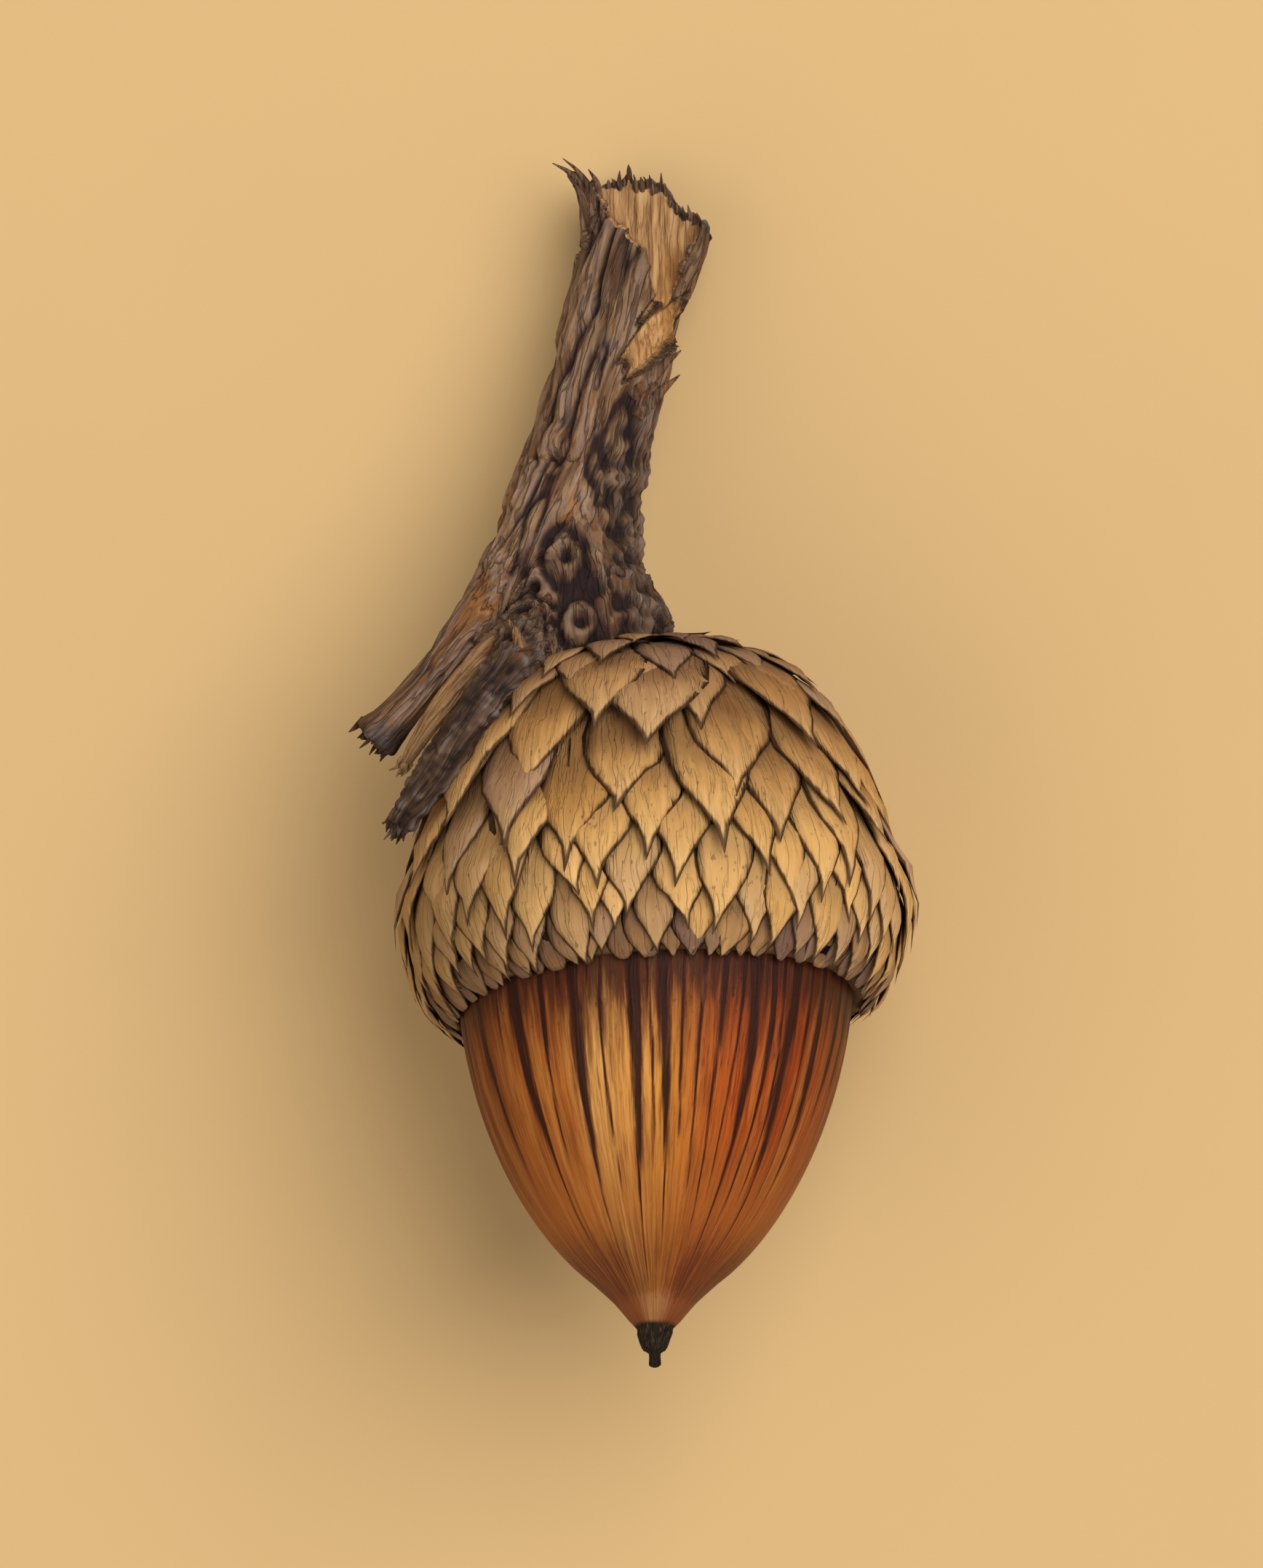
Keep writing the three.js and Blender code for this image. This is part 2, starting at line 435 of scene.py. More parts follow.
nut = {
    "sides": 512,
    "beakRings": 46,
    "rings": 84,  # of the smooth shell
    "stripes": [  # [degrees round from the top, half width in degrees, how far down the nut it runs]
        [-79, 2.4, 0.6], [-64.5, 3.0, 0.78], [-54, 1.2, 0.36], [-46, 3.4, 0.84], [-37, 1.8, 0.6],
        [-31, 1.0, 0.3], [-25.5, 3.9, 0.95], [-20, 1.1, 0.24], [-15.4, 1.4, 0.42], [-7, 3.4, 0.98],
        [-1.6, 0.9, 0.22], [3.8, 3.1, 0.9], [9, 1.1, 0.26], [14.4, 1.6, 0.44], [21.4, 2.4, 0.56],
        [26, 1.2, 0.36], [31, 3.4, 0.86], [37.5, 1.8, 0.74], [42, 1.0, 0.4], [47, 4.0, 0.88],
        [54, 1.5, 0.5], [60, 2.8, 0.74], [70, 2.6, 0.6], [79, 2.2, 0.6],
    ],
    "tails": [  # thin ones that run on towards the point
        [-45, 1.0, 1.15], [-36, 0.9, 0.95], [-25, 1.1, 1.25], [-15.8, 0.9, 0.9], [-6.6, 1.1, 1.3],
        [-1.4, 0.8, 0.9], [3.4, 1.0, 1.2], [9.4, 0.8, 0.8], [15, 0.9, 0.95], [21, 1.0, 1.1],
        [26.4, 0.9, 1.0], [31.4, 1.1, 1.2], [37, 1.0, 1.15], [42.4, 0.9, 1.0], [47.4, 1.1, 1.2],
        [54, 0.9, 1.0], [60.5, 1.0, 1.1],
    ],
    "hidden": {"seed": 7, "count": 18},  # the stripes on the underside
    "stripesFrom": -2.0,  # where the stripes start, and where one that runs the full way would end
    "stripesTo": -16.5,
    "groove": 0.035,  # depth of the faint lengthwise furrows
    "bump": 0.03,  # depth of the grain that the material shows
    "styleTop": -17.7,  # where the dried style starts
    # from the end of the dried style to where the smooth shell takes over: [radius, along]
    "beak": [
        [0, -19.62], [0.17, -19.6], [0.24, -19.5], [0.22, -19.3], [0.24, -19.0], [0.42, -18.9],
        [0.53, -18.7], [0.62, -18.4], [0.72, -18.08], [0.7, -17.96], [0.84, -17.84], [1.12, -17.55],
        [1.4, -17.2], [1.86, -16.66], [2.6, -15.95], [3.4, -15.2],
    ],
}


def nutTweak(radius, along, turns):
    # faint furrows on the shell, and a knobbly, roughly four-sided style
    ring = columns(np.sin(turns) * 2.6, np.cos(turns) * 2.6, along * 0.05)
    furrows = nut["groove"] * noiseAt(ring, 2.2) * min(1, radius / 4)
    style = smoothStep(nut["styleTop"], nut["styleTop"] - 0.4, along)
    knobbly = radius * style * (0.09 * np.cos(4 * turns + 0.5) + 0.12 * noiseAt(ring, (0.9, 0.9, 30), 4))
    return furrows + knobbly


def stripeStrength(turns, along):
    down = np.clip((nut["stripesFrom"] - along) / (nut["stripesFrom"] - nut["stripesTo"]), 0, 1)
    count = nut["hidden"]["count"]
    uniform = np.random.default_rng(nut["hidden"]["seed"]).uniform
    behind = [[90 + 180 * (i + 0.5) / count + uniform(-2, 2), uniform(1, 4), uniform(0.4, 0.9)]
              for i in range(count)]
    strength = np.zeros_like(turns)
    for middle, halfWidth, run in nut["stripes"] + nut["tails"] + behind:
        sway = 1.1 * np.sin(down * 5 + middle)
        away = np.abs((np.degrees(turns) - middle - sway + 180) % 360 - 180)
        width = halfWidth * (1.2 - 0.9 * down / run)
        edge = np.clip(1.25 * (1 - away / np.maximum(width, 0.2)), 0, 1)
        strength = np.maximum(strength, edge * (1 - smoothStep(run * 0.55, run, down)))
    return strength


def makeNutMaterial():
    material, tree, shader = newMaterial("nutShell", specular=0.13)
    fibre = readAttribute(tree, "fibre", "Vector")
    parts = split(fibre)
    around, along = calc("ARCTAN2", parts["X"], parts["Y"]), parts["Z"]
    fromTop = calc("ABSOLUTE", around)
    streaks, _, flecks = addGrain(fibre, 5.0, 0.06, 0.25)
    broadStreaks, broadCracks, _ = addGrain(fibre, 1.3, 0.05, 0.5)
    _, hairs, _ = addGrain(fibre, 11.0, 0.03, 0.2)
    felt = cloud(fibre, 4.0, 4.0)["Fac"]
    # ochre on the upper left, whose paleness is partly a painted highlight, amber and then deep orange to
    # the right, red-brown down the left side
    turn = remap(plus(around, times(broadStreaks, 0.16)), -math.pi, math.pi)
    turn.node.interpolation_type = "LINEAR"
    shell = ramp(
        turn, [0.0, 112, 56, 22], [0.27, 98, 44, 18], [0.325, 122, 58, 20], [0.37, 160, 90, 34],
        [0.425, 180, 110, 44], [0.458, 214, 162, 90], [0.49, 208, 148, 74], [0.525, 206, 142, 56],
        [0.555, 182, 96, 30], [0.6, 160, 64, 12], [0.66, 150, 58, 12], [0.705, 158, 80, 30],
        [0.75, 130, 64, 26], [1.0, 112, 56, 22],
    )
    nearRim = plus(along, times(streaks, 1.4))
    stripe = plus(readAttribute(tree, "stripe"), times(minus(streaks, 0.5), 0.55))
    ragged = plus(along, times(felt, 1.2))
    band = times(remap(ragged, -13.0, -15.2), remap(streaks, 0.1, 0.9, 0.4, 0.9),
                 remap(fromTop, 0.05, 0.55, 0.55, 1.0))
    patch = times(remap(fromTop, 0.62, 0.1), remap(ragged, -15.9, -16.5),
                  remap(streaks, 0.8, 0.2, 0.3, 1.0))
    shell = paint(
        shell,
        [times(streaks, remap(along, -7.0, -12.0, 0.42, 0.56)), 112, 54, 20],
        [times(remap(broadStreaks, 0.5, 1.0), 0.22), 222, 160, 76],
        [times(hairs, remap(around, -0.1, 0.5, 0.3, 0.75)), 92, 38, 14],
        # warmer towards the point, darker and flecked towards the rim, and nearly black just under it,
        # which is painted shade from the cup's rim
        [remap(along, -9.0, -14.0, 0.0, 0.6), 164, 98, 42],
        [remap(nearRim, -8.6, -3.4, 0.0, 0.72), 84, 34, 14],
        [remap(nearRim, -5.3, -3.4, 0.0, 0.82), 46, 20, 13],
        [times(flecks, remap(along, -8.5, -4.0), 0.85), 48, 20, 14],
        # feathered, nearly black stripes
        [times(remap(stripe, 0.02, 0.5), 0.7), 92, 40, 20],
        [times(remap(stripe, 0.3, 0.85), 0.93), 38, 13, 7],
        # towards the point: a purple-brown band, lighter shell, and a felted pale patch on top
        [band, 86, 42, 30],
        [remap(ragged, -16.0, -16.6, 0.0, 0.7), 146, 84, 44],
        [times(patch, 0.62), 200, 152, 104],
    )
    # the black style, with lighter grey-brown spots that are painted highlights
    style = remap(along, nut["styleTop"] - 0.02, nut["styleTop"] - 0.2)
    black = ramp(felt, [0.3, 18, 12, 10], [0.56, 50, 40, 34], [0.72, 128, 112, 94])
    rough = plus(remap(streaks, 0.0, 1.0, 0.42, 0.56), times(calc("MAXIMUM", patch, style), 0.35))
    relief = plus(streaks, times(broadCracks, -0.8), times(felt, style, 4.0))
    finishMaterial(shader, mixColour(style, shell, black), rough, relief, nut["bump"])
    return material


def makeNut():
    beak = splinePoints(nut["beak"], nut["beakRings"])
    start = beak[-1, 1]
    share = np.linspace(0, 1, nut["rings"])[1:] ** 1.25
    along = start + (nutTop - start) * np.sin(share * math.pi / 2) ** 1.1
    shellPart = columns(nutRadiusAt(along), along)
    shellPart[-1, 0] = 0
    # the beak's last radii are eased onto the shell's own curve
    ease = smoothStep(-16.2, start, beak[:, 1])
    beak[:, 0] = beak[:, 0] * (1 - ease) + nutRadiusAt(beak[:, 1]) * ease
    points, faces = revolve(np.vstack([beak, shellPart]), nut["sides"], nutTweak)
    turns = turnsOf(points)
    piece = addPiece("nut_shell", moved(points, toMetres @ nutPlace), faces, makeNutMaterial())
    setAttributes(piece, stripe=stripeStrength(turns, points[:, 1]),
                  fibre=columns(np.sin(turns) * 8, np.cos(turns) * 8, points[:, 1]))
    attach(piece, "root")
    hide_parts("nut")
    print("nut made:", len(faces), "faces")


makeNut()


# Cup

cup = {
    "sides": 160,
    "rings": 90,  # of the wall's outside
    # the cup's outside over the scales, from the twig to the rim, as shares of its radius: [radius, along]
    "outline": [
        [0, 1.1], [0.3, 1.08], [0.58, 0.98], [0.8, 0.725], [0.925, 0.36], [1, 0.035], [0.945, -0.19],
        [0.875, -0.3], [0.82, -0.345],
    ],
    "depth": 0.25,  # the wall lies this share of a scale's size under the scales' tips
    "gap": 0.04,  # between the wall and the nut
    "apron": 0.4,  # how far the last scales may lie down over the nut, past the rim
    "scaleSizes": [  # [place along the wall from the twig, size of a scale there]
        [0, 1.2], [5, 1.35], [7.5, 1.75], [9, 2.35], [10.5, 2.8], [13, 2.75], [15, 2.45], [17, 2.1],
        [19, 1.75], [20.4, 1.45], [21.3, 1.1], [22, 0.78], [23.5, 0.66],
    ],
    "scaleShape": [  # [place from root to tip, half width there]
        [0, 0.5], [0.25, 0.88], [0.45, 1.0], [0.58, 0.96], [0.68, 0.82], [0.76, 0.6], [0.84, 0.35],
        [0.92, 0.15], [1.03, 0.01],
    ],
    "spread": {  # the settings of the scales' node group
        "Golden Angle": math.radians(137.508),
        "Length": 3.15,  # of a scale, in scale sizes
        "Width": 1.34,
        "Rise": 0.25,  # how far a scale's tip is lifted off the wall
        "Thickness": 0.11,
        "Jitter": 0.34,
        "Seed": 3,
    },
    "rimWave": 0.3,  # the rim is this much higher on top than at its sides
    "ragged": 0.05,  # how far a scale's edges wander, in scale sizes
    "clear": 0.03,  # the scales stay this far off the nut
    "clearBelow": 6,  # along the cup, where they can reach it
    "wallBump": 0.1,
    "scaleBump": 0.05,
}
sizePlaces, scaleSizes = np.array(cup["scaleSizes"]).T


def wallOutline():
    # the wall under the scales: sunk more where the scales are big
    outer = splinePoints(np.array(cup["outline"]) * acorn["cupRadius"], cup["rings"])
    way = np.gradient(outer, axis=0)
    way /= np.linalg.norm(way, axis=1)[:, None]
    sunk = cup["depth"] * np.interp(lengthsAlong(outer), sizePlaces, scaleSizes)
    wall = outer - columns(-way[:, 1], way[:, 0]) * sunk[:, None]
    wall[0, 0] = 0
    return wall


cupWall = wallOutline()
wallLengths = lengthsAlong(cupWall)
wallLength = float(wallLengths[-1])


def waveRim(points):
    raised = cup["rimWave"] * np.cos(turnsOf(points)) * smoothStep(2, -3.5, points[:, 1])
    return points + columns(0, raised, 0)


def makeWallMaterial():
    material, tree, shader = newMaterial("cupWall")
    grain = cloud(addNode(tree, "ShaderNodeTexCoord").outputs["Object"], 900.0, 4.0)["Fac"]
    felt = ramp(grain, [0.3, 86, 60, 38], [0.7, 138, 102, 64])
    finishMaterial(shader, felt, 0.9, grain, cup["wallBump"])
    return material


def makeWall():
    rim = cupWall[-1, 1]
    floor = nutTop + cup["gap"]
    share = np.sin(np.linspace(0, 1, 24) * math.pi / 2)
    along = rim - 0.05 + (floor - rim) * share
    cavity = columns(nutRadiusAt(along - cup["gap"]) + cup["gap"], along)
    cavity[-1] = [0, floor]
    points, faces = revolve(np.vstack([cavity[::-1], cupWall[::-1]]), cup["sides"])
    # the cavity follows the nut, which stands straight while the cup leans
    hollow = 1 + (len(cavity) - 1) * cup["sides"]
    points[:hollow, 0] += math.tan(acorn["lean"]) * points[:hollow, 1]
    placed = moved(waveRim(points), toMetres @ nutPlace @ leaned)
    placed[:, 2] = np.maximum(placed[:, 2], 0.05 * mm)
    piece = addPiece("cup_wall", placed, faces, makeWallMaterial())
    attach(piece, "root")
    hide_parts("cup")
    print("cup wall made:", len(faces), "faces")


makeWall()


def scaleTemplate():
    # one scale lying flat: x across, y from its root to its tip, z its thickness, all from 0 or -1 to 1
    rows, across = cup["scaleShape"], [-1, -0.55, 0, 0.55, 1]
    wide = len(across)
    points, margins, faces = [], [], []
    for along, halfWidth in rows:
        # only the part that shows swells, so the scales lie over one another without cutting through
        swell = smoothStep(0.42, 0.72, along) * min(1, halfWidth * 1.6)
        points += [(x * halfWidth, along, swell * (1 - x * x)) for x in across]
        margins += [min((1 - abs(x)) * halfWidth, 1.5 * (rows[-1][0] - along)) for x in across]
    for start in range(0, len(points) - wide, wide):
        for corner in range(start, start + wide - 1):
            faces.append((corner, corner + 1, corner + wide + 1, corner + wide))
        # the underside is flat
        faces.append((start, start + wide, start + 2 * wide - 1, start + wide - 1))
    faces.append(tuple(range(wide))[::-1])
    faces.append(tuple(range(len(points) - wide, len(points))))
    return points, margins, faces


def outlineCurve():
    # the wall's outline, carried on a little way down the nut, as a curve that the scales follow
    last, before = cupWall[-1], cupWall[-4]
    way = (last - before) / np.linalg.norm(last - before)
    apron = last + way * np.linspace(0, cup["apron"], 8)[1:, None]
    apron[:, 0] = np.maximum(apron[:, 0], nutRadiusAt(apron[:, 1]) + 0.12)
    track = np.vstack([cupWall, apron])
    curve = bpy.data.curves.new("cupOutline", "CURVE")
    curve.dimensions = "3D"
    spline = curve.splines.new("POLY")
    spline.points.add(len(track) - 1)
    for point, (radius, along) in zip(spline.points, track):
        point.co = (radius, along, 0, 1)
    holder = bpy.data.objects.new("cupOutline", curve)
    bpy.context.scene.collection.objects.link(holder)
    return holder


def scaleSpread():
    # how many scales fit between the twig and each place on the wall, when each has its own size squared
    places = np.linspace(0, wallLength, 400)
    radii = np.interp(places, wallLengths, cupWall[:, 0])
    crowd = math.tau * radii / np.interp(places, sizePlaces, scaleSizes) ** 2
    counts = np.concatenate([[0], np.cumsum((crowd[1:] + crowd[:-1]) / 2 * np.diff(places))])
    return places, counts


def addCurve(value, points):
    node = addNode(value.id_data, "ShaderNodeFloatCurve", {"Value": value})
    curve = node.mapping.curves[0]
    while len(curve.points) < len(points):
        curve.points.new(0.5, 0.5)
    for point, place in zip(curve.points, points):
        point.location = place
        point.handle_type = "AUTO_CLAMPED"
    node.mapping.update()
    return node.outputs[0]


def makeScaleTree():
    inputs = {"Geometry": "Geometry", "Outline": "Object", "Scales": "Int", "Material": "Material",
              **{name: "Int" if name == "Seed" else "Float" for name in cup["spread"]}}
    tree, given, taken = newGroup("scaleCoat", "GeometryNodeTree", inputs, {"Geometry": "Geometry"})

    def chance(low, high, shift):
        node = addNode(tree, "FunctionNodeRandomValue", data_type="FLOAT")
        sockets = {socket.identifier: socket for socket in node.inputs}
        values = {"Min_001": low, "Max_001": high, "Seed": plus(given["Seed"], float(shift))}
        for name, value in values.items():
            plug(value, sockets[name])
        return {socket.identifier: socket for socket in node.outputs}["Value_001"]

    def step(kind, values=None, **settings):
        return addNode(tree, "GeometryNode" + kind, values, **settings).outputs

    def store(geometry, name, value, kind="FLOAT"):
        values = {"Geometry": geometry, "Name": name, "Value": value}
        return step("StoreNamedAttribute", values, data_type=kind, domain="POINT")[0]

    def recall(name):
        return step("InputNamedAttribute", {"Name": name}, data_type="FLOAT")["Attribute"]

    # one seat for each scale, in a spiral down the wall
    seats = step("Points", {"Count": given["Scales"]})[0]
    index = step("InputIndex")[0]
    places, counts = scaleSpread()
    biggest = max(scaleSizes)
    marks = np.linspace(0, 1, 15)
    marks = list(zip(marks, np.interp(marks * counts[-1], counts, places) / wallLength))
    share = addCurve(calc("DIVIDE", plus(index, 0.5), given["Scales"]), marks)
    marks = [(min(place / wallLength, 1), size / biggest) for place, size in cup["scaleSizes"]]
    size = times(addCurve(share, marks), biggest, chance(0.93, 1.07, 1))
    place = plus(times(share, wallLength), times(given["Jitter"], size, chance(-0.8, 0.8, 2)))
    turn = times(index, given["Golden Angle"])
    for name, value in {"place": place, "turn": turn, "size": size, "chance": chance(0.0, 1.0, 3),
                        "skew": chance(-1.0, 1.0, 4), "lift": chance(0.7, 1.35, 5),
                        "stretch": chance(0.84, 1.14, 6), "sideways": chance(-0.6, 0.6, 7)}.items():
        seats = store(seats, name, value)
    placed = step("InstanceOnPoints", {"Points": seats, "Instance": given["Geometry"]})[0]
    loose = step("RealizeInstances", {"Geometry": placed})[0]

    # each flat scale is laid round the wall: down the outline, round the axis, and out from the surface
    flat = split(step("InputPosition")[0])
    size, place = recall("size"), recall("place")
    reach = times(size, given["Length"], recall("stretch"))
    down = calc("MAXIMUM", plus(place, times(minus(flat["Y"], 0.58), reach)), 0.05)
    # broad by the twig, slender farther down
    halfWidth = times(size, given["Width"], remap(place, 9.0, 15.0, 0.57, 0.47))
    bend = times(recall("skew"), 0.6, calc("POWER", flat["Y"], 2.0))
    bend = plus(bend, times(recall("sideways"), given["Jitter"]))
    aside = times(plus(flat["X"], bend), halfWidth)
    outline = step("ObjectInfo", {"Object": given["Outline"]})["Geometry"]
    sample = step("SampleCurve", {"Curves": outline, "Length": down}, mode="LENGTH")
    spot, way = split(sample["Position"]), split(sample["Tangent"])
    # the first scales stand up round the twig, and the last press closer to the nut
    nearTwig = remap(place, 6.5, 11.0, 1.6, 1.0)
    nearRim = remap(place, wallLength - 2.6, wallLength - 0.4, 1.0, 0.45)
    slope = times(given["Rise"], recall("lift"), calc("POWER", flat["Y"], 1.15), times(nearRim, nearTwig))
    # a keel down the middle, thinning to the tip
    height = times(plus(slope, times(given["Thickness"], flat["Z"])), size)
    radius = minus(spot["X"], times(way["Y"], height))
    along = plus(spot["Y"], times(way["X"], height))
    angle = plus(recall("turn"), calc("DIVIDE", aside, calc("MAXIMUM", spot["X"], 1.0)))
    laid = join(tree, times(radius, calc("SINE", angle)), along, times(radius, calc("COSINE", angle)))
    fibre = join(tree, aside, times(recall("chance"), 60.0), times(flat["Y"], reach))
    result = store(store(loose, "alongScale", flat["Y"]), "fibre", fibre, "FLOAT_VECTOR")
    result = step("SetPosition", {"Geometry": result, "Position": laid})[0]
    result = step("RealizeInstances", {"Geometry": result})[0]
    plug(step("SetMaterial", {"Geometry": result, "Material": given["Material"]})[0], taken[0])
    return tree


def makeScaleMaterial():
    material, tree, shader = newMaterial("cupScales", specular=0.25)
    margin, along, chance, place, weathered = (
        readAttribute(tree, name) for name in ("margin", "alongScale", "chance", "place", "weathered"))
    streaks, cracks, flecks = addGrain(readAttribute(tree, "fibre", "Vector"), 4.5, 0.12, 0.3)
    body = ramp(
        chance, [0.0, 190, 146, 92], [0.22, 214, 170, 108], [0.42, 186, 136, 70], [0.6, 208, 166, 114],
        [0.8, 172, 142, 120], [1.0, 158, 130, 114],
    )
    ends = calc("MAXIMUM", remap(place, 11.0, 6.0), remap(place, 19.6, 21.6))
    edge = plus(margin, times(streaks, -0.05))
    body = paint(
        body,
        [times(calc("FRACT", times(chance, 9.7)), 0.22), 128, 88, 48],
        # dusky middle; the root darkened as painted shade where it slips under the scale above; pale tip
        [times(remap(margin, 0.15, 0.75), remap(along, 1.0, 0.6), 0.5), 142, 96, 44],
        [remap(along, 0.7, 0.45, 0.0, 0.64), 90, 60, 35],
        [times(remap(along, 0.7, 0.98), 0.55), 230, 194, 136],
        [times(streaks, 0.36), 120, 88, 54],
        # creamy low on the belly, partly the scales' own tone and partly a painted highlight, grey and
        # purple by the twig and at the rim, painted shade down the left side
        [times(remap(place, 13.0, 17.5), remap(place, 21.0, 19.0), 0.42), 236, 192, 124],
        [times(ends, plus(0.4, times(chance, 0.5))), 116, 90, 78],
        [times(weathered, 0.6), 118, 92, 60],
        # a dark outline along each scale's edge, painted shade for the crevices between scales, and flecks
        [remap(edge, 0.1, 0.02, 0.0, 0.88), 60, 37, 24],
        [times(flecks, 0.5), 74, 52, 34],
    )
    relief = minus(times(streaks, 0.7), cracks)
    finishMaterial(shader, body, remap(streaks, 0.0, 1.0, 0.72, 0.92), relief, cup["scaleBump"])
    return material


def makeScales():
    points, margins, faces = scaleTemplate()
    piece = addPiece("cup_scales", points, faces)
    setAttributes(piece, margin=margins)
    count = int(scaleSpread()[1][-1])
    outline = outlineCurve()
    coat = piece.modifiers.new("coat", "NODES")
    coat.node_group = makeScaleTree()
    values = {"Outline": outline, "Scales": count, "Material": makeScaleMaterial(), **cup["spread"]}
    for socket in coat.node_group.interface.items_tree:
        if socket.name in values:
            coat[socket.identifier] = values[socket.name]
    bakePiece(piece)
    smoothShade(piece)
    bpy.data.objects.remove(outline)
    # every edge wanders a little; no tip cuts into the nut, and the belly is worn flat on the table
    points = getPoints(piece)
    size = readRows(piece.data.attributes["size"].data, "value", 1)
    points += cup["ragged"] * size * columns(*[noiseAt(points, 1.1, shift) for shift in (3, 13, 23)])
    local = moved(waveRim(points), leaned)
    radius = np.hypot(local[:, 0], local[:, 2])
    least = nutRadiusAt(local[:, 1]) + cup["clear"]
    push = np.where(local[:, 1] < cup["clearBelow"], np.maximum(least / np.maximum(radius, 0.1), 1), 1)
    local[:, [0, 2]] *= push[:, None]
    x, y, z = local.T
    # painted shade on the scales down the cup's left side, towards the rim
    weathered = smoothStep(-3.2, -8.6, x) * smoothStep(5, -2, y) * smoothStep(-6, 2, z)
    setAttributes(piece, weathered=weathered)
    placed = moved(local, nutPlace)
    placed[:, 2] = np.maximum(placed[:, 2], 0.0)
    setPoints(piece, placed * mm)
    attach(piece, "root")
    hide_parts("cup")
    print("cup scales made:", count, "scales,", len(piece.data.polygons), "faces")


makeScales()


# Twig

